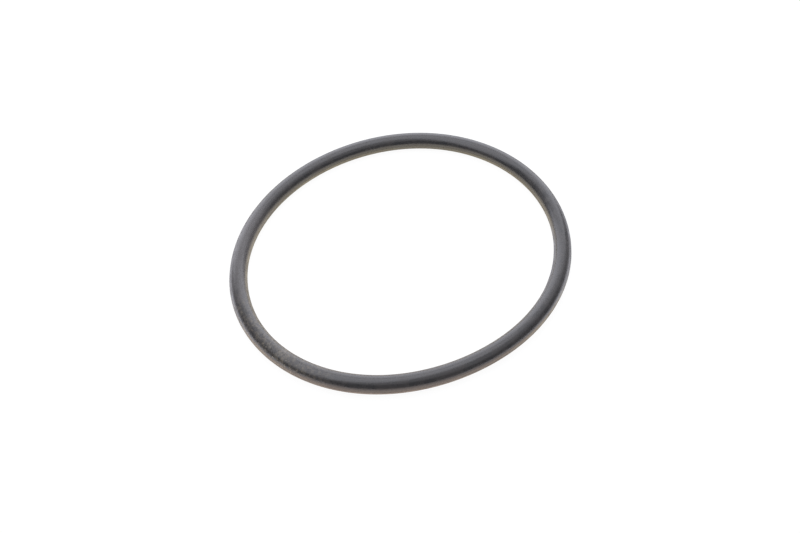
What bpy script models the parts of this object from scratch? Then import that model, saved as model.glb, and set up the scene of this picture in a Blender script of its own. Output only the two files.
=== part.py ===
"""A rubber o-ring: one moulded ring of round section, lying loose and slightly out of round.

Metres, +Z up. The ring lies on the plane z = 0, its box is centred on the origin,
and its long way runs along X. The script runs as it stands, with
blender --background --python part.py, or from Blender's text editor.
"""

import math

import bmesh
import bpy
from mathutils import Vector

# The moulded ring, before it is laid down
INSIDE_DIAMETER = 0.070
SECTION_DIAMETER = 0.004

# The witness that the two halves of the mould leave, round the outside and round the inside
WITNESS_HEIGHT = 0.00005
WITNESS_WIDTH = 0.00016
WITNESS_CREST_WIDTH = 0.00008

# The loose ring lies out of round: how far each wave lifts the centreline at its peaks,
# and where its first peak stands, from +X towards +Y
OVAL_RISE = 0.0023
OVAL_ANGLE = math.radians(0)
EGG_RISE = 0.00019
EGG_ANGLE = math.radians(55.3)
CORNER_RISE = 0.00013
CORNER_ANGLE = math.radians(12.5)

# How finely the round shapes are divided. Each half of the section has an odd number of
# flats, so that one of them is level: the ring rests on it, and the other face bears on it.
STATIONS = 128
FLATS_PER_HALF = 15

# How many times the mean radius is corrected until the laid ring is as long as the moulded one
LENGTH_CORRECTIONS = 4

RUBBER_COLOUR = (0.035, 0.034, 0.034, 1.0)
RUBBER_ROUGHNESS = 0.45
SHARP_EDGE = math.radians(25)

SECTION_RADIUS = SECTION_DIAMETER / 2
CENTRELINE_RADIUS = INSIDE_DIAMETER / 2 + SECTION_RADIUS

# Each wave in the laid ring, by how many peaks it has round the ring
WAVES = {
    2: (OVAL_RISE, OVAL_ANGLE),
    3: (EGG_RISE, EGG_ANGLE),
    4: (CORNER_RISE, CORNER_ANGLE),
}


def section_outline():
    """The section's outline about its own centre, as (outward, up) pairs, anticlockwise."""
    start = math.asin(WITNESS_WIDTH / 2 / SECTION_RADIUS)
    step = (math.pi - 2 * start) / FLATS_PER_HALF
    # the flats touch the true circle, so the ring is as high as its section diameter
    corner_radius = SECTION_RADIUS / math.cos(step / 2)
    upper = [
        (
            corner_radius * math.cos(start + step * i),
            corner_radius * math.sin(start + step * i),
        )
        for i in range(FLATS_PER_HALF + 1)
    ]
    lower = [(-out, -up) for out, up in upper]
    crest = SECTION_RADIUS + WITNESS_HEIGHT
    half_crest = WITNESS_CREST_WIDTH / 2
    inner_witness = [(-crest, half_crest), (-crest, -half_crest)]
    outer_witness = [(crest, -half_crest), (crest, half_crest)]
    return upper + inner_witness + lower + outer_witness


def moulded_ring():
    """The ring as it leaves the mould, round: its section spun about Z."""
    ring = bmesh.new()
    corners = [
        ring.verts.new((CENTRELINE_RADIUS + out, 0, up)) for out, up in section_outline()
    ]
    edges = [
        ring.edges.new((corner, following))
        for corner, following in zip(corners, corners[1:] + corners[:1])
    ]
    bmesh.ops.spin(
        ring,
        geom=corners + edges,
        cent=(0, 0, 0),
        axis=(0, 0, 1),
        dvec=(0, 0, 0),
        angle=2 * math.pi,
        steps=STATIONS,
        use_merge=True,
    )
    bmesh.ops.recalc_face_normals(ring, faces=ring.faces)
    return ring


def rise(angle):
    """How far the laid centreline stands outside its mean circle at this angle."""
    return sum(
        height * math.cos(peaks * (angle - first))
        for peaks, (height, first) in WAVES.items()
    )


def slope(angle):
    """How fast the rise changes with the angle, in metres per radian."""
    return sum(
        -height * peaks * math.sin(peaks * (angle - first))
        for peaks, (height, first) in WAVES.items()
    )


def mean_radius():
    """The laid centreline's mean radius, which keeps it as long as the moulded one."""
    radius = CENTRELINE_RADIUS
    angles = [2 * math.pi * i / STATIONS for i in range(STATIONS)]
    for _ in range(LENGTH_CORRECTIONS):
        spread = sum(math.hypot(radius + rise(a), slope(a)) for a in angles) / STATIONS
        radius += CENTRELINE_RADIUS - spread
    return radius


def lay_out_of_round(ring):
    """Bends the ring's centreline to its laid form, with every section square to it."""
    mean = mean_radius()
    for vert in ring.verts:
        angle = math.atan2(vert.co.y, vert.co.x)
        outward = math.hypot(vert.co.x, vert.co.y) - CENTRELINE_RADIUS
        radial = Vector((math.cos(angle), math.sin(angle), 0))
        onward = Vector((-math.sin(angle), math.cos(angle), 0))
        radius = mean + rise(angle)
        square = (radius * radial - slope(angle) * onward).normalized()
        vert.co = radius * radial + outward * square + Vector((0, 0, vert.co.z))


def centre_on_floor(ring):
    """Centres the ring's box on the Z axis and rests its lower flat on z = 0."""
    low = Vector([min(vert.co[i] for vert in ring.verts) for i in range(3)])
    high = Vector([max(vert.co[i] for vert in ring.verts) for i in range(3)])
    middle = (low + high) / 2
    bmesh.ops.translate(ring, verts=ring.verts, vec=(-middle.x, -middle.y, -low.z))


def black_rubber():
    """Matte black rubber with a soft sheen."""
    material = bpy.data.materials.new("black_rubber")
    material.use_nodes = True
    shader = material.node_tree.nodes["Principled BSDF"]
    shader.inputs["Base Color"].default_value = RUBBER_COLOUR
    shader.inputs["Roughness"].default_value = RUBBER_ROUGHNESS
    shader.inputs["Metallic"].default_value = 0.0
    return material


def o_ring():
    """The finished ring as one object, with its place in its mesh."""
    ring = moulded_ring()
    lay_out_of_round(ring)
    centre_on_floor(ring)
    mesh = bpy.data.meshes.new("o_ring")
    ring.to_mesh(mesh)
    ring.free()
    mesh.materials.append(black_rubber())
    mesh.shade_smooth()
    mesh.set_sharp_from_angle(angle=SHARP_EDGE)
    piece = bpy.data.objects.new("o_ring", mesh)
    bpy.context.scene.collection.objects.link(piece)
    return piece


def main():
    for old in list(bpy.data.objects):
        bpy.data.objects.remove(old)
    o_ring()


main()
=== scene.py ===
"""Looks for a rubber o-ring: its fine moulded surface, its black rubber and a plain pale studio.

Metres, +Z up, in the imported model's own frame. It is laid out as a Blender add-on and run as a script.
"""

import math

import bmesh
import bpy
from bpy.props import FloatProperty, FloatVectorProperty, IntProperty, PointerProperty
from mathutils import Matrix, Vector, noise


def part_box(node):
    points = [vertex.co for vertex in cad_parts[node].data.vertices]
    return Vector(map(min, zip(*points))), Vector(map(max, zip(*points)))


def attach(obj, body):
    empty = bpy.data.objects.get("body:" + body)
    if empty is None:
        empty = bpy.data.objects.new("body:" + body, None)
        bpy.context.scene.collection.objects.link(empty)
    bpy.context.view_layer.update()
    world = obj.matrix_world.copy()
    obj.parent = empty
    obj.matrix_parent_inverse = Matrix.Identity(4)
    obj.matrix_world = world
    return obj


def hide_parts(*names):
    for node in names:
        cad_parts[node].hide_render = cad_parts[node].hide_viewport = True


bl_info = {
    "name": "O-ring finish",
    "version": (1, 0, 0),
    "blender": (4, 5, 0),
    "location": "3D View > Sidebar > O-ring",
    "description": "Builds the fine surface of a moulded o-ring, its black rubber and a pale studio",
    "category": "Object",
}

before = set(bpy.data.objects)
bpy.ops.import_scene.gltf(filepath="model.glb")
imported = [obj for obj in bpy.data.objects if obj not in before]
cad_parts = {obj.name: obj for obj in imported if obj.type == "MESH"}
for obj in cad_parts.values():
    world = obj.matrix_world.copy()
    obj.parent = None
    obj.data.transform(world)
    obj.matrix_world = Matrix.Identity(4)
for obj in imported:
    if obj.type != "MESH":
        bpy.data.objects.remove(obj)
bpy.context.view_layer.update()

# The waves in the laid ring's outline, by how many peaks each has round the ring
OVAL_PEAKS = 2
EGG_PEAKS = 3
CORNER_PEAKS = 4

# How many times the mean radius is corrected until the laid ring is as long as the moulded one
LENGTH_CORRECTIONS = 4

# How far apart the places are where the trimming has cut the parting line deepest
TRIM_PATCH = 0.004

# The part of each noise's range that is spread from none to full
MOTTLE_RANGE = (0.35, 0.65)
SCUFF_RANGE = (0.45, 0.75)
SPECK_RANGE = (0.59, 0.70)
CLUMP_RANGE = (0.4, 0.65)

# The share of a patch's reach within which it is full
SCUFF_CORE = 0.45
PALER_STRETCH_CORE = 0.3
DUST_CORE = 0.3
SMUDGE_CORE = 0.3

# The dust between the specks, on the wiped side, in the scuffs, and in the smudge's thin and
# thick places, as shares of the specks' own
DUST_BETWEEN = 0.07
DUST_WIPED = 0.35
DUST_IN_SCUFFS = 0.5
DUST_IN_SMUDGE = (0.12, 0.6)

# How far the surface has turned away where the rim's roughness starts, and where it is full
RIM_RANGE = (0.4, 0.9)

# Where the grain starts to fade along X, and where it has faded
GRAIN_FADE_RANGE = (0.0, 0.026)

# The table's glow in gloss changes between these distances behind the ring's middle
FRONT_TO_MIDDLE = (-0.045, 0.0)
MIDDLE_TO_BACK = (0.03, 0.05)

# It changes between these distances to the left and right of the middle
SIDE_GLOW_RANGE = (0.027, 0.043)
SIDE_TINT_RANGE = (0.034, 0.043)

# The side's tint also reaches into the ring's hole at its right
HOLE_TINT_PLACE = 0.029
HOLE_TINT_REACH = 0.014
HOLE_TINT_CORE = 0.4

# Distances from the ring's centreline: from close to well away, and on to where the table is plain
CLOSE_TO_AWAY = (0.003, 0.012)
PLAIN_FROM = (0.1, 0.5)

# The room turns paler between these, where 1 faces the camera
PALER_WALL = (0.1, 0.5)

FLOOR_REACH = 1.5
SENSOR_WIDTH = 36.0
NEAREST_SEEN = 0.01


class RingSizes(bpy.types.PropertyGroup):
    """The moulded ring's sizes, and how far out of round it lies."""

    inside_diameter: FloatProperty(
        name="Inside diameter",
        description="Across the hole of the round ring, before it is laid down",
        default=0.070,
        subtype="DISTANCE",
    )
    section_diameter: FloatProperty(
        name="Section diameter",
        description="Thickness of the round section",
        default=0.004,
        subtype="DISTANCE",
    )
    witness_height: FloatProperty(
        name="Parting line height",
        description="How far the mould's parting line stands out, at most",
        default=0.00005,
        subtype="DISTANCE",
    )
    witness_width: FloatProperty(
        name="Parting line width",
        description="Width of the parting line at its foot",
        default=0.00016,
        subtype="DISTANCE",
    )
    witness_trim: FloatProperty(
        name="Parting line trim",
        description="Share of the parting line's height that the trimming has taken off in places",
        default=0.7,
        subtype="FACTOR",
    )
    oval_rise: FloatProperty(
        name="Oval rise",
        description="How far the laid ring's long way stands outside its mean circle",
        default=0.0023,
        subtype="DISTANCE",
    )
    egg_rise: FloatProperty(
        name="Egg rise",
        description="Height of the three-peaked wave in the laid ring's outline",
        default=0.00019,
        subtype="DISTANCE",
    )
    egg_angle: FloatProperty(
        name="Egg angle",
        description="Where the three-peaked wave's first peak stands",
        default=math.radians(55.3),
        subtype="ANGLE",
    )
    corner_rise: FloatProperty(
        name="Corner rise",
        description="Height of the four-peaked wave in the laid ring's outline",
        default=0.00013,
        subtype="DISTANCE",
    )
    corner_angle: FloatProperty(
        name="Corner angle",
        description="Where the four-peaked wave's first peak stands",
        default=math.radians(12.5),
        subtype="ANGLE",
    )
    stations: IntProperty(
        name="Stations",
        description="How many sections stand round the ring, before it is subdivided",
        default=360,
    )
    half_steps: IntProperty(
        name="Half section steps",
        description="How many steps each half of the section's round has, before it is subdivided",
        default=22,
    )


class RubberFinish(bpy.types.PropertyGroup):
    """The colour, gloss and grain of the rubber."""

    rubber: FloatVectorProperty(
        name="Rubber",
        description="Colour of the clean black rubber",
        subtype="COLOR",
        size=4,
        min=0.0,
        max=1.0,
        default=(0.027, 0.027, 0.028, 1.0),
    )
    bloom: FloatVectorProperty(
        name="Bloom",
        description="Colour of the rubber where a faint bloom has come to its surface",
        subtype="COLOR",
        size=4,
        min=0.0,
        max=1.0,
        default=(0.037, 0.034, 0.033, 1.0),
    )
    # A paler colour for one stretch of the ring, fading out from its middle: only a lighter tone there
    paler_stretch: FloatVectorProperty(
        name="Bloomed",
        description="Colour where the bloom lies thickest",
        subtype="COLOR",
        size=4,
        min=0.0,
        max=1.0,
        default=(0.062, 0.057, 0.056, 1.0),
    )
    dust: FloatVectorProperty(
        name="Dust",
        description="Colour of the dust in the scuffed patch",
        subtype="COLOR",
        size=4,
        min=0.0,
        max=1.0,
        default=(0.185, 0.16, 0.12, 1.0),
    )
    low_roughness: FloatProperty(
        name="Least roughness",
        description="Roughness where the mould left the rubber smoothest",
        default=0.21,
        subtype="FACTOR",
    )
    high_roughness: FloatProperty(
        name="Most roughness",
        description="Roughness where the rubber is dullest",
        default=0.33,
        subtype="FACTOR",
    )
    rim_roughness: FloatProperty(
        name="Rim roughness",
        description="How much rougher the grain makes the rubber look where it turns away",
        default=0.40,
        subtype="FACTOR",
    )
    refraction: FloatProperty(
        name="Refractive index",
        description="Refractive index of the rubber's surface",
        default=1.60,
    )
    grain_size: FloatProperty(
        name="Grain size",
        description="How far apart the grains of the moulded surface are",
        default=0.00022,
        subtype="DISTANCE",
    )
    grain_height: FloatProperty(
        name="Grain height",
        description="How high the grain of the moulded surface stands",
        default=0.0000055,
        subtype="DISTANCE",
    )
    grain_fade: FloatProperty(
        name="Grain fade",
        description="Share of the grain's height that is left on the ring's smoother side, towards +X",
        default=0.33,
        subtype="FACTOR",
    )
    mottle_size: FloatProperty(
        name="Mottle size",
        description="How far apart the duller places are",
        default=0.0022,
        subtype="DISTANCE",
    )
    # Where that paler stretch lies, and how far it reaches
    paler_stretch_place: FloatVectorProperty(
        name="Bloom place",
        description="Middle of the stretch where the bloom lies thickest",
        subtype="XYZ",
        unit="LENGTH",
        default=(-0.0285, 0.0275, 0.003),
    )
    paler_stretch_reach: FloatProperty(
        name="Bloom reach",
        description="How far from its middle the thick bloom fades out",
        default=0.021,
        subtype="DISTANCE",
    )
    scuff_place: FloatVectorProperty(
        name="Scuff place",
        description="Middle of the scuffed and dusty patch",
        subtype="XYZ",
        unit="LENGTH",
        default=(-0.0415, -0.0005, 0.003),
    )
    scuff_reach: FloatProperty(
        name="Scuff reach",
        description="How far from its middle the scuffed patch fades out",
        default=0.021,
        subtype="DISTANCE",
    )
    scuff_size: FloatProperty(
        name="Scuff size",
        description="How far apart the scuffs are",
        default=0.0007,
        subtype="DISTANCE",
    )
    dust_place: FloatVectorProperty(
        name="Dust place",
        description="Middle of the place where specks of dust cling",
        subtype="XYZ",
        unit="LENGTH",
        default=(-0.0408, -0.0045, 0.003),
    )
    dust_reach: FloatProperty(
        name="Dust reach",
        description="How far from its middle the specks of dust fade out",
        default=0.010,
        subtype="DISTANCE",
    )
    wiped_from: FloatVectorProperty(
        name="Wiped from",
        description="Point above the ring from which its nearer, upper side is wiped half clean",
        subtype="XYZ",
        unit="LENGTH",
        default=(0.0, 0.0, 0.0263),
    )
    wiped_reach: FloatVectorProperty(
        name="Wiped reach",
        description="How far from that point the ring is half clean, and where the specks lie in full",
        size=2,
        unit="LENGTH",
        default=(0.0452, 0.0462),
    )
    smudge_place: FloatVectorProperty(
        name="Smudge place",
        description="Middle of the small smudge of dust on the wiped side",
        subtype="XYZ",
        unit="LENGTH",
        default=(-0.0393, -0.0045, 0.0039),
    )
    smudge_reach: FloatProperty(
        name="Smudge reach",
        description="How far from its middle the smudge fades out",
        default=0.0028,
        subtype="DISTANCE",
    )
    speck_size: FloatProperty(
        name="Speck size",
        description="How far apart the specks of dust in the scuffed patch are",
        default=0.00045,
        subtype="DISTANCE",
    )
    scuff_height: FloatProperty(
        name="Scuff height",
        description="How deep the scuffs go",
        default=0.00004,
        subtype="DISTANCE",
    )


class StudioSettings(bpy.types.PropertyGroup):
    """The camera, the floor and the light."""

    azimuth: FloatProperty(
        name="Azimuth",
        description="The camera's way round the ring; 0 looks along +Y",
        default=math.radians(-44.44),
        subtype="ANGLE",
    )
    elevation: FloatProperty(
        name="Elevation",
        description="The camera's height above the horizon, seen from the ring's middle",
        default=math.radians(48.68),
        subtype="ANGLE",
    )
    distance: FloatProperty(
        name="Distance",
        description="From the camera to the ring's middle",
        default=0.22475,
        subtype="DISTANCE",
    )
    lens: FloatProperty(
        name="Lens",
        description="Focal length in millimetres on a 36 mm wide sensor",
        default=43.92,
        unit="CAMERA",
    )
    aim: FloatVectorProperty(
        name="Aim",
        description="The point that stands at the middle of the picture",
        subtype="XYZ",
        unit="LENGTH",
        default=(-0.00368, -0.00313, 0.002),
    )
    white: FloatVectorProperty(
        name="White",
        description="Colour of the pale floor",
        subtype="COLOR",
        size=4,
        min=0.0,
        max=1.0,
        default=(0.86, 0.86, 0.86, 1.0),
    )
    roof_size: FloatVectorProperty(
        name="Roof size",
        description="Width and depth of the tent's roof",
        size=2,
        unit="LENGTH",
        default=(0.45, 0.45),
    )
    roof_place: FloatVectorProperty(
        name="Roof place",
        description="Middle of the tent's roof: right, away from the camera and up",
        subtype="XYZ",
        unit="LENGTH",
        default=(0.074, 0.011, 0.252),
    )
    roof_brightness: FloatProperty(
        name="Roof brightness",
        description="How bright the tent's roof is, where 1 is white",
        default=0.59,
    )
    softbox_size: FloatVectorProperty(
        name="Softbox size",
        description="Length and width of the softbox overhead",
        size=2,
        unit="LENGTH",
        default=(0.48, 0.19),
    )
    softbox_place: FloatVectorProperty(
        name="Softbox place",
        description="Middle of the softbox: right, away from the camera and up",
        subtype="XYZ",
        unit="LENGTH",
        default=(-0.112, -0.035, 0.25),
    )
    softbox_turn: FloatProperty(
        name="Softbox turn",
        description="How far the softbox's length is turned from the picture's width, anticlockwise",
        default=math.radians(41),
        subtype="ANGLE",
    )
    softbox_brightness: FloatProperty(
        name="Softbox brightness",
        description="How bright the softbox is, where 1 is white",
        default=1.41,
    )
    window_size: FloatVectorProperty(
        name="Window size",
        description="Width and height of the bright wall behind the ring",
        size=2,
        unit="LENGTH",
        default=(0.56, 0.27),
    )
    window_place: FloatVectorProperty(
        name="Window place",
        description="Middle of the bright wall's foot: right, away from the camera and up",
        subtype="XYZ",
        unit="LENGTH",
        default=(-0.08, 0.25, 0.0),
    )
    window_brightness: FloatProperty(
        name="Window brightness",
        description="How bright the wall behind is, where 1 is white",
        default=1.94,
    )
    room: FloatVectorProperty(
        name="Room",
        description="Colour of the room and of the tent's roof",
        subtype="COLOR",
        size=4,
        min=0.0,
        max=1.0,
        default=(0.95, 0.945, 1.0, 1.0),
    )
    room_brightness: FloatVectorProperty(
        name="Room brightness",
        description="How bright the room is round the table, behind the camera and facing it",
        size=2,
        default=(0.26, 0.62),
    )
    daylight: FloatVectorProperty(
        name="Daylight",
        description="Colour of the softbox and of the window",
        subtype="COLOR",
        min=0.0,
        max=1.0,
        default=(0.905, 0.915, 1.0),
    )
    # The glow colours and strengths below are painted reflection: light the table gives off only to the
    # rubber's gloss, warm in front and within the ring, cool behind
    front_glow: FloatVectorProperty(
        name="Front glow",
        description="Colour of the table in front of the ring, as the rubber's gloss shows it",
        subtype="COLOR",
        size=4,
        min=0.0,
        max=1.0,
        default=(1.0, 0.745, 0.58, 1.0),
    )
    middle_glow: FloatVectorProperty(
        name="Middle glow",
        description="Colour of the table within the ring, as the rubber's gloss shows it",
        subtype="COLOR",
        size=4,
        min=0.0,
        max=1.0,
        default=(1.0, 0.82, 0.47, 1.0),
    )
    back_glow: FloatVectorProperty(
        name="Back glow",
        description="Colour of the table behind the ring, as the rubber's gloss shows it",
        subtype="COLOR",
        size=4,
        min=0.0,
        max=1.0,
        default=(0.70, 0.82, 1.0, 1.0),
    )
    side_tint: FloatVectorProperty(
        name="Side tint",
        description="Colour of the table to the ring's left and right, as the rubber's gloss shows it",
        subtype="COLOR",
        size=4,
        min=0.0,
        max=1.0,
        default=(0.93, 0.92, 1.0, 1.0),
    )
    glow_strengths: FloatVectorProperty(
        name="Glow strengths",
        description="How bright the table glows in gloss: in front, within the ring and behind it",
        size=3,
        default=(1.30, 1.00, 0.45),
    )
    side_glow: FloatProperty(
        name="Side glow",
        description="How much more the table glows in gloss to the ring's left and right",
        default=0.62,
    )
    glow_spread: FloatVectorProperty(
        name="Glow spread",
        description="How much of that glow there is close to the ring, and well away from it",
        size=2,
        default=(1.42, 0.75),
    )
    camera_white: FloatProperty(
        name="Camera white",
        description="How much white the table adds for the camera",
        default=0.945,
    )
    shadow_share: FloatProperty(
        name="Shadow share",
        description="Share of the table's own light and shade that the camera sees under its white",
        default=0.10,
        subtype="FACTOR",
    )


def rise_and_slope(sizes, angle):
    """How far the laid centreline stands outside its mean circle, and how that changes with the angle."""
    waves = (
        (sizes.oval_rise, OVAL_PEAKS, 0.0),
        (sizes.egg_rise, EGG_PEAKS, sizes.egg_angle),
        (sizes.corner_rise, CORNER_PEAKS, sizes.corner_angle),
    )
    rise = sum(height * math.cos(peaks * (angle - first)) for height, peaks, first in waves)
    slope = sum(
        -height * peaks * math.sin(peaks * (angle - first)) for height, peaks, first in waves
    )
    return rise, slope


def mean_radius(sizes, centreline_radius):
    """The laid centreline's mean radius, which keeps it as long as the moulded one."""
    radius = centreline_radius
    angles = [2 * math.pi * i / sizes.stations for i in range(sizes.stations)]
    waves = [rise_and_slope(sizes, angle) for angle in angles]
    for _ in range(LENGTH_CORRECTIONS):
        spread = sum(math.hypot(radius + rise, slope) for rise, slope in waves)
        radius += centreline_radius - spread / sizes.stations
    return radius


def section_loop(ring, sizes, centre):
    """The section's outline as a loop of edges in the XZ plane, anticlockwise."""
    radius = sizes.section_diameter / 2
    start = math.asin(sizes.witness_width / 2 / radius)
    middle = Vector((centre, 0, 0))
    halves = []
    for turn in (0, math.pi):
        first = ring.verts.new(
            middle + Vector((radius * math.cos(start + turn), 0, radius * math.sin(start + turn)))
        )
        arc = bmesh.ops.spin(
            ring,
            geom=[first],
            cent=middle,
            axis=(0, -1, 0),
            dvec=(0, 0, 0),
            angle=math.pi - 2 * start,
            steps=sizes.half_steps,
        )
        last = next(item for item in arc["geom_last"] if isinstance(item, bmesh.types.BMVert))
        halves.append((first, last))
    for (_, last), (following, _), side in zip(halves, reversed(halves), (-1, 1)):
        crest = radius + sizes.witness_height
        shoulder = sizes.witness_width / 4
        points = [
            ring.verts.new(middle + Vector((side * crest, 0, -side * height)))
            for height in (-shoulder, shoulder)
        ]
        chain = [last, *points, following]
        for here, onward in zip(chain, chain[1:]):
            ring.edges.new((here, onward))


def trim_witness(ring, sizes, centreline_radius):
    """Takes the parting line down unevenly, as trimming the flash does."""
    radius = sizes.section_diameter / 2
    for vert in ring.verts:
        from_centreline = math.hypot(vert.co.x, vert.co.y) - centreline_radius
        standing = math.hypot(from_centreline, vert.co.z) - radius
        if standing < sizes.witness_height / 2:
            continue
        share = 0.5 + 0.5 * noise.noise(vert.co / TRIM_PATCH)
        cut = sizes.witness_height * sizes.witness_trim * min(max(share, 0), 1)
        outward = Vector((vert.co.x, vert.co.y, 0)).normalized()
        vert.co -= math.copysign(cut, from_centreline) * outward


def lay_out_of_round(ring, sizes, centreline_radius):
    """Bends the round ring's centreline to its laid form, with every section square to it."""
    mean = mean_radius(sizes, centreline_radius)
    for vert in ring.verts:
        angle = math.atan2(vert.co.y, vert.co.x)
        outward = math.hypot(vert.co.x, vert.co.y) - centreline_radius
        radial = Vector((math.cos(angle), math.sin(angle), 0))
        onward = Vector((-math.sin(angle), math.cos(angle), 0))
        rise, slope = rise_and_slope(sizes, angle)
        radius = mean + rise
        square = (radius * radial - slope * onward).normalized()
        vert.co = radius * radial + outward * square + Vector((0, 0, vert.co.z))


def centre_in(ring, low, high):
    """Puts the middle of the ring's box at the middle of the box given."""
    own_low = Vector([min(vert.co[i] for vert in ring.verts) for i in range(3)])
    own_high = Vector([max(vert.co[i] for vert in ring.verts) for i in range(3)])
    bmesh.ops.translate(
        ring, verts=ring.verts, vec=(low + high) / 2 - (own_low + own_high) / 2
    )


def piece_from(ring, name, material):
    """A finished piece from a bmesh: its object at the origin, its place in its mesh."""
    mesh = bpy.data.meshes.new(name)
    ring.to_mesh(mesh)
    ring.free()
    mesh.materials.append(material)
    mesh.shade_smooth()
    piece = bpy.data.objects.new(name, mesh)
    bpy.context.scene.collection.objects.link(piece)
    return piece


def subdivide(piece):
    """Rounds the piece off with one level of subdivision, in the view and in the render alike."""
    smoother = piece.modifiers.new("fine_round", "SUBSURF")
    smoother.levels = 1
    smoother.render_levels = 1


def add_node(tree, kind, **values):
    """A new node, with its named inputs set; an underscore in a name stands for a space."""
    node = tree.nodes.new(kind)
    for name, value in values.items():
        node.inputs[name.replace("_", " ")].default_value = value
    return node


def combine(tree, operation, first, second):
    """The output of a Math node on two values, each a socket or a number."""
    node = tree.nodes.new("ShaderNodeMath")
    node.operation = operation
    for socket, value in zip(node.inputs, (first, second)):
        if isinstance(value, (int, float)):
            socket.default_value = value
        else:
            tree.links.new(value, socket)
    return node.outputs[0]


def spread(tree, value, from_low, from_high, to_low, to_high, smooth=False):
    """The output of a Map Range node, held within its new range."""
    node = tree.nodes.new("ShaderNodeMapRange")
    node.clamp = True
    node.interpolation_type = "SMOOTHSTEP" if smooth else "LINEAR"
    tree.links.new(value, node.inputs["Value"])
    for name, number in (
        ("From Min", from_low),
        ("From Max", from_high),
        ("To Min", to_low),
        ("To Max", to_high),
    ):
        node.inputs[name].default_value = number
    return node.outputs["Result"]


def along(tree, place, direction):
    """How far a place lies along a direction."""
    node = tree.nodes.new("ShaderNodeVectorMath")
    node.operation = "DOT_PRODUCT"
    tree.links.new(place, node.inputs[0])
    node.inputs[1].default_value = direction
    return node.outputs["Value"]


def speckle(tree, place, apart, detail):
    """The value of a noise whose features stand this far apart on the object."""
    node = add_node(tree, "ShaderNodeTexNoise", Scale=1 / apart, Detail=detail)
    tree.links.new(place, node.inputs["Vector"])
    return node.outputs["Fac"]


def blend_colours(tree, share, first, second):
    """Mixes two colours, each a socket or a plain colour, by a share."""
    node = tree.nodes.new("ShaderNodeMix")
    node.data_type = "RGBA"
    tree.links.new(share, node.inputs["Factor"])
    for name, colour in (("A", first), ("B", second)):
        socket = next(
            item for item in node.inputs if item.name == name and item.type == "RGBA"
        )
        if isinstance(colour, bpy.types.NodeSocket):
            tree.links.new(colour, socket)
        else:
            socket.default_value = colour
    return next(item for item in node.outputs if item.type == "RGBA")


def away_from(tree, place, middle):
    """How far a place is from a point."""
    away = tree.nodes.new("ShaderNodeVectorMath")
    away.operation = "DISTANCE"
    tree.links.new(place, away.inputs[0])
    away.inputs[1].default_value = middle
    return away.outputs["Value"]


def fade_from(tree, place, middle, reach, core):
    """1 near a point on the object, fading to 0 at its reach; core is the share of it that stays 1."""
    return spread(tree, away_from(tree, place, middle), reach, reach * core, 0, 1, smooth=True)


def dust_share(tree, place, scuffs, worn, finish):
    """How dusty the rubber is: specks on the ring's shoulder, a small smudge, and dust in the scuffs."""
    fine = speckle(tree, place, finish.speck_size, detail=1)
    specks = spread(tree, fine, *SPECK_RANGE, DUST_BETWEEN, 1)
    near = fade_from(tree, place, finish.dust_place, finish.dust_reach, DUST_CORE)
    above = away_from(tree, place, finish.wiped_from)
    shoulder = spread(tree, above, *finish.wiped_reach, DUST_WIPED, 1, smooth=True)
    gathered = combine(tree, "MULTIPLY", near, shoulder)
    smudge = fade_from(tree, place, finish.smudge_place, finish.smudge_reach, SMUDGE_CORE)
    clumps = spread(tree, scuffs, *CLUMP_RANGE, *DUST_IN_SMUDGE)
    loose = combine(
        tree,
        "MAXIMUM",
        combine(tree, "MULTIPLY", specks, gathered),
        combine(tree, "MULTIPLY", clumps, smudge),
    )
    return combine(tree, "MAXIMUM", loose, combine(tree, "MULTIPLY", worn, DUST_IN_SCUFFS))


def surface_relief(tree, place, scuffs, patch, finish):
    """The normal of the moulded grain, which fades towards +X, with the scuffs of the worn patch in it."""
    grain = speckle(tree, place, finish.grain_size, detail=3)
    sideways = along(tree, place, (1, 0, 0))
    kept = spread(tree, sideways, *GRAIN_FADE_RANGE, 1, finish.grain_fade, smooth=True)
    fine = add_node(tree, "ShaderNodeBump", Distance=finish.grain_height)
    tree.links.new(combine(tree, "MULTIPLY", grain, kept), fine.inputs["Height"])
    coarse = add_node(tree, "ShaderNodeBump", Distance=finish.scuff_height)
    tree.links.new(combine(tree, "MULTIPLY", scuffs, patch), coarse.inputs["Height"])
    tree.links.new(fine.outputs["Normal"], coarse.inputs["Normal"])
    return coarse.outputs["Normal"]


def black_rubber(finish):
    """Black rubber with a soft sheen: a fine grain, a faint bloom, one stretch given a paler tone, and one
    scuffed and dusty patch.
    """
    material = bpy.data.materials.new("black_rubber")
    material.use_nodes = True
    tree = material.node_tree
    shader = tree.nodes["Principled BSDF"]
    shader.distribution = "GGX"
    shader.inputs["IOR"].default_value = finish.refraction
    place = tree.nodes.new("ShaderNodeTexCoord").outputs["Object"]

    clouds = speckle(tree, place, finish.mottle_size, detail=4)
    mottle = spread(tree, clouds, *MOTTLE_RANGE, 0, 1)
    scuffs = speckle(tree, place, finish.scuff_size, detail=3)
    patch = fade_from(tree, place, finish.scuff_place, finish.scuff_reach, SCUFF_CORE)
    worn = combine(tree, "MULTIPLY", patch, spread(tree, scuffs, *SCUFF_RANGE, 0, 1))

    faint = blend_colours(tree, mottle, finish.rubber, finish.bloom)
    # One stretch of the ring, on its left as the camera sees it, is given a paler tone that fades out from
    # its middle
    paler_stretch = fade_from(tree, place, finish.paler_stretch_place, finish.paler_stretch_reach, PALER_STRETCH_CORE)
    clean = blend_colours(tree, paler_stretch, faint, finish.paler_stretch)
    dusty = dust_share(tree, place, scuffs, worn, finish)
    tree.links.new(blend_colours(tree, dusty, clean, finish.dust), shader.inputs["Base Color"])

    dull = combine(tree, "MAXIMUM", mottle, worn)
    rough = spread(tree, dull, 0, 1, finish.low_roughness, finish.high_roughness)
    turned = tree.nodes.new("ShaderNodeLayerWeight").outputs["Facing"]
    rim = spread(tree, turned, *RIM_RANGE, 0, finish.rim_roughness, smooth=True)
    tree.links.new(combine(tree, "ADD", rough, rim), shader.inputs["Roughness"])

    relief = surface_relief(tree, place, scuffs, patch, finish)
    tree.links.new(relief, shader.inputs["Normal"])
    return material


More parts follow.
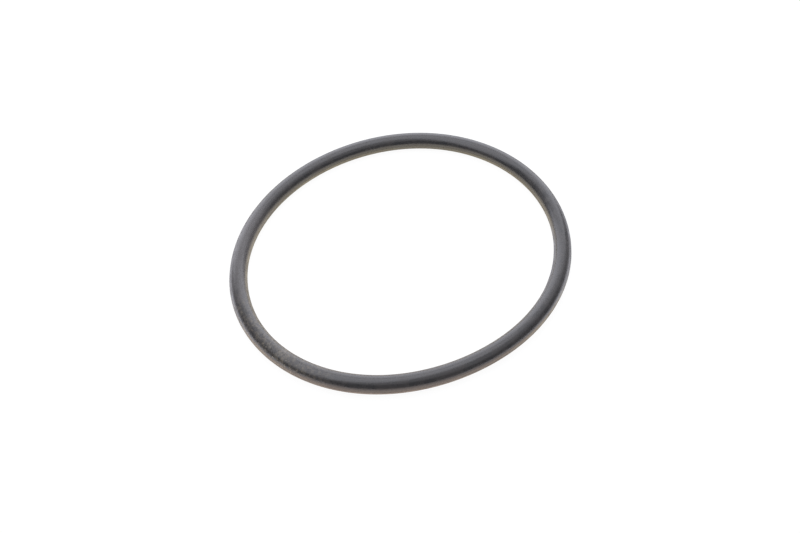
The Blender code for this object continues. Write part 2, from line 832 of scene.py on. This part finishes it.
class ORING_OT_rubber_ring(bpy.types.Operator):
    """Builds the ring's fine surface from its section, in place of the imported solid"""

    bl_idname = "oring.rubber_ring"
    bl_label = "Rubber ring"

    def execute(self, context):
        sizes = context.scene.oring_sizes
        centreline_radius = (sizes.inside_diameter + sizes.section_diameter) / 2
        ring = bmesh.new()
        section_loop(ring, sizes, centreline_radius)
        bmesh.ops.spin(
            ring,
            geom=ring.verts[:] + ring.edges[:],
            cent=(0, 0, 0),
            axis=(0, 0, 1),
            dvec=(0, 0, 0),
            angle=2 * math.pi,
            steps=sizes.stations,
            use_merge=True,
        )
        bmesh.ops.recalc_face_normals(ring, faces=ring.faces)
        trim_witness(ring, sizes, centreline_radius)
        lay_out_of_round(ring, sizes, centreline_radius)
        centre_in(ring, *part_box("o_ring"))
        piece = piece_from(ring, "rubber_ring", black_rubber(context.scene.oring_finish))
        subdivide(piece)
        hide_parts("o_ring")
        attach(piece, "root")
        return {"FINISHED"}


def away_from_camera(studio):
    """The level direction from the camera's side of the ring to the far side."""
    return Vector((-math.sin(studio.azimuth), math.cos(studio.azimuth), 0))


def rightwards(studio):
    """The level direction to the right of the picture."""
    return Vector((math.cos(studio.azimuth), math.sin(studio.azimuth), 0))


def in_studio(studio, place):
    """A place given as right, away from the camera and up, in the ring's own frame."""
    level = rightwards(studio) * place[0] + away_from_camera(studio) * place[1]
    return level + Vector((0, 0, place[2]))


def from_ring(tree, place):
    """How far a place on the floor is from the ring's centreline, which lies close to an ellipse."""
    low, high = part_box("o_ring")
    half_section = (high.z - low.z) / 2
    reach = (high - low) / 2 - Vector((half_section, half_section, 0))
    scaled = tree.nodes.new("ShaderNodeVectorMath")
    scaled.operation = "MULTIPLY"
    tree.links.new(place, scaled.inputs[0])
    scaled.inputs[1].default_value = (1 / reach.x, 1 / reach.y, 0)
    length = tree.nodes.new("ShaderNodeVectorMath")
    length.operation = "LENGTH"
    tree.links.new(scaled.outputs["Vector"], length.inputs[0])
    outside = combine(tree, "SUBTRACT", length.outputs["Value"], 1)
    mean_reach = (reach.x + reach.y) / 2
    return combine(tree, "MULTIPLY", combine(tree, "ABSOLUTE", outside, 0), mean_reach)


def table_glow(tree, place, off, studio):
    """How bright the table's painted glow is in gloss, and its tint: light the rubber reflects, brightest
    close to the ring; off is the distance from the ring.
    """
    behind = along(tree, place, away_from_camera(studio))
    aside = combine(tree, "ABSOLUTE", along(tree, place, rightwards(studio)), 0)
    within = spread(tree, behind, *FRONT_TO_MIDDLE, 0, 1, smooth=True)
    beyond = spread(tree, behind, *MIDDLE_TO_BACK, 0, 1, smooth=True)

    front, middle, back = studio.glow_strengths
    near = spread(tree, within, 0, 1, front, middle)
    fall = combine(tree, "MULTIPLY", beyond, middle - back)
    more = spread(tree, aside, *SIDE_GLOW_RANGE, 0, studio.side_glow, smooth=True)
    level = combine(tree, "ADD", combine(tree, "SUBTRACT", near, fall), more)
    close = spread(tree, off, *CLOSE_TO_AWAY, *studio.glow_spread, smooth=True)

    warm = blend_colours(tree, within, studio.front_glow, studio.middle_glow)
    warm_to_cool = blend_colours(tree, beyond, warm, studio.back_glow)
    outside = spread(tree, aside, *SIDE_TINT_RANGE, 0, 1, smooth=True)
    hole_place = rightwards(studio) * HOLE_TINT_PLACE
    in_hole = fade_from(tree, place, hole_place, HOLE_TINT_REACH, HOLE_TINT_CORE)
    at_sides = combine(tree, "MAXIMUM", outside, in_hole)
    tint = blend_colours(tree, at_sides, warm_to_cool, studio.side_tint)
    return combine(tree, "MULTIPLY", level, close), tint


def pale_floor(studio):
    """A white table that keeps the ring's shadow and stands white in the camera; in gloss it glows
    brighter and tinted, a painted reflection for the rubber.
    """
    material = bpy.data.materials.new("pale_floor")
    material.use_nodes = True
    tree = material.node_tree
    tree.nodes.clear()
    output = tree.nodes.new("ShaderNodeOutputMaterial")
    path = tree.nodes.new("ShaderNodeLightPath")
    camera, gloss, through = (
        path.outputs[f"Is {kind} Ray"] for kind in ("Camera", "Glossy", "Transmission")
    )
    diffuse = tree.nodes.new("ShaderNodeBsdfDiffuse")
    shaded = [studio.shadow_share * part for part in studio.white[:3]] + [1]
    tree.links.new(blend_colours(tree, camera, studio.white, shaded), diffuse.inputs["Color"])

    place = tree.nodes.new("ShaderNodeTexCoord").outputs["Object"]
    off = from_ring(tree, place)
    strength, tint = table_glow(tree, place, off, studio)
    # The table glows for gloss rays only: painted reflection light for the rubber
    in_gloss = combine(tree, "MULTIPLY", strength, gloss)
    plain = spread(tree, off, *PLAIN_FROM, studio.camera_white, 1)
    white = combine(tree, "MULTIPLY", combine(tree, "MAXIMUM", camera, through), plain)

    glow = tree.nodes.new("ShaderNodeEmission")
    tree.links.new(blend_colours(tree, gloss, (1, 1, 1, 1), tint), glow.inputs["Color"])
    tree.links.new(combine(tree, "MAXIMUM", in_gloss, white), glow.inputs["Strength"])
    both = tree.nodes.new("ShaderNodeAddShader")
    tree.links.new(diffuse.outputs[0], both.inputs[0])
    tree.links.new(glow.outputs[0], both.inputs[1])
    tree.links.new(both.outputs[0], output.inputs["Surface"])
    return material


def dim_room(studio):
    """A dim room, paler behind the ring, which the camera sees as plain white."""
    world = bpy.data.worlds.new("dim_room")
    world.use_nodes = True
    tree = world.node_tree
    background = tree.nodes["Background"]
    seen = tree.nodes.new("ShaderNodeLightPath").outputs["Is Camera Ray"]
    tint = blend_colours(tree, seen, studio.room, (1, 1, 1, 1))
    tree.links.new(tint, background.inputs["Color"])
    towards = tree.nodes.new("ShaderNodeTexCoord").outputs["Generated"]
    facing = along(tree, towards, away_from_camera(studio))
    walls = spread(tree, facing, *PALER_WALL, *studio.room_brightness, smooth=True)
    tree.links.new(combine(tree, "MAXIMUM", walls, seen), background.inputs["Strength"])
    return world


def panel_light(scene, name, place, facing, across, size, brightness, colour):
    """A soft rectangular light at a place, with its facing, the way its length runs and its look."""
    light = bpy.data.lights.new(name, "AREA")
    light.shape = "RECTANGLE"
    light.size, light.size_y = size
    light.color = colour
    light.energy = brightness / max(light.color[:2]) * math.pi * size[0] * size[1]
    lamp = bpy.data.objects.new(name, light)
    turned = Matrix((across, -facing.cross(across), -facing)).transposed()
    lamp.matrix_world = Matrix.Translation(place) @ turned.to_4x4()
    lamp.visible_camera = False
    scene.collection.objects.link(lamp)


def place_camera(scene, studio):
    """The camera stands round the ring's middle and looks at the aim point."""
    low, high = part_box("o_ring")
    middle = (low + high) / 2
    back = Vector(
        (
            math.sin(studio.azimuth) * math.cos(studio.elevation),
            -math.cos(studio.azimuth) * math.cos(studio.elevation),
            math.sin(studio.elevation),
        )
    )
    data = bpy.data.cameras.new("camera")
    data.lens = studio.lens
    data.sensor_width = SENSOR_WIDTH
    data.sensor_fit = "HORIZONTAL"
    data.clip_start = NEAREST_SEEN
    camera = bpy.data.objects.new("camera", data)
    scene.collection.objects.link(camera)
    camera.location = middle + back * studio.distance
    look = Vector(studio.aim) - camera.location
    camera.rotation_euler = look.to_track_quat("-Z", "Y").to_euler()
    scene.camera = camera


class ORING_OT_studio(bpy.types.Operator):
    """Sets the pale floor, the soft light and the camera"""

    bl_idname = "oring.studio"
    bl_label = "Studio"

    def execute(self, context):
        scene = context.scene
        studio = scene.oring_studio
        scene.view_settings.view_transform = "Standard"
        floor = bmesh.new()
        bmesh.ops.create_grid(floor, x_segments=1, y_segments=1, size=FLOOR_REACH)
        plane = piece_from(floor, "floor", pale_floor(studio))
        scene.world = dim_room(studio)

        right = rightwards(studio)
        away = away_from_camera(studio)
        up = Vector((0, 0, 1))
        panel_light(
            scene,
            "roof",
            in_studio(studio, studio.roof_place),
            -up,
            right,
            studio.roof_size,
            studio.roof_brightness,
            studio.room[:3],
        )
        panel_light(
            scene,
            "softbox",
            in_studio(studio, studio.softbox_place),
            -up,
            right * math.cos(studio.softbox_turn) + away * math.sin(studio.softbox_turn),
            studio.softbox_size,
            studio.softbox_brightness,
            studio.daylight,
        )
        panel_light(
            scene,
            "window",
            in_studio(studio, studio.window_place) + up * studio.window_size[1] / 2,
            -away,
            right,
            studio.window_size,
            studio.window_brightness,
            studio.daylight,
        )
        place_camera(scene, studio)
        return {"FINISHED"}


class ORING_PT_sidebar(bpy.types.Panel):
    """The ring's settings and the steps that build it"""

    bl_label = "O-ring"
    bl_idname = "ORING_PT_sidebar"
    bl_space_type = "VIEW_3D"
    bl_region_type = "UI"
    bl_category = "O-ring"

    def draw(self, context):
        layout = self.layout
        for group in (
            context.scene.oring_sizes,
            context.scene.oring_finish,
            context.scene.oring_studio,
        ):
            box = layout.box()
            for name in group.__annotations__:
                box.prop(group, name)
        for operator in OPERATORS:
            layout.operator(operator.bl_idname)


GROUPS = {
    "oring_sizes": RingSizes,
    "oring_finish": RubberFinish,
    "oring_studio": StudioSettings,
}
OPERATORS = (ORING_OT_rubber_ring, ORING_OT_studio)
CLASSES = (*GROUPS.values(), *OPERATORS, ORING_PT_sidebar)


def register():
    for made in CLASSES:
        bpy.utils.register_class(made)
    for name, group in GROUPS.items():
        setattr(bpy.types.Scene, name, PointerProperty(type=group))


def unregister():
    for name in GROUPS:
        delattr(bpy.types.Scene, name)
    for made in reversed(CLASSES):
        bpy.utils.unregister_class(made)


def main():
    register()
    bpy.ops.oring.rubber_ring()
    bpy.ops.oring.studio()


if __name__ == "__main__":
    main()
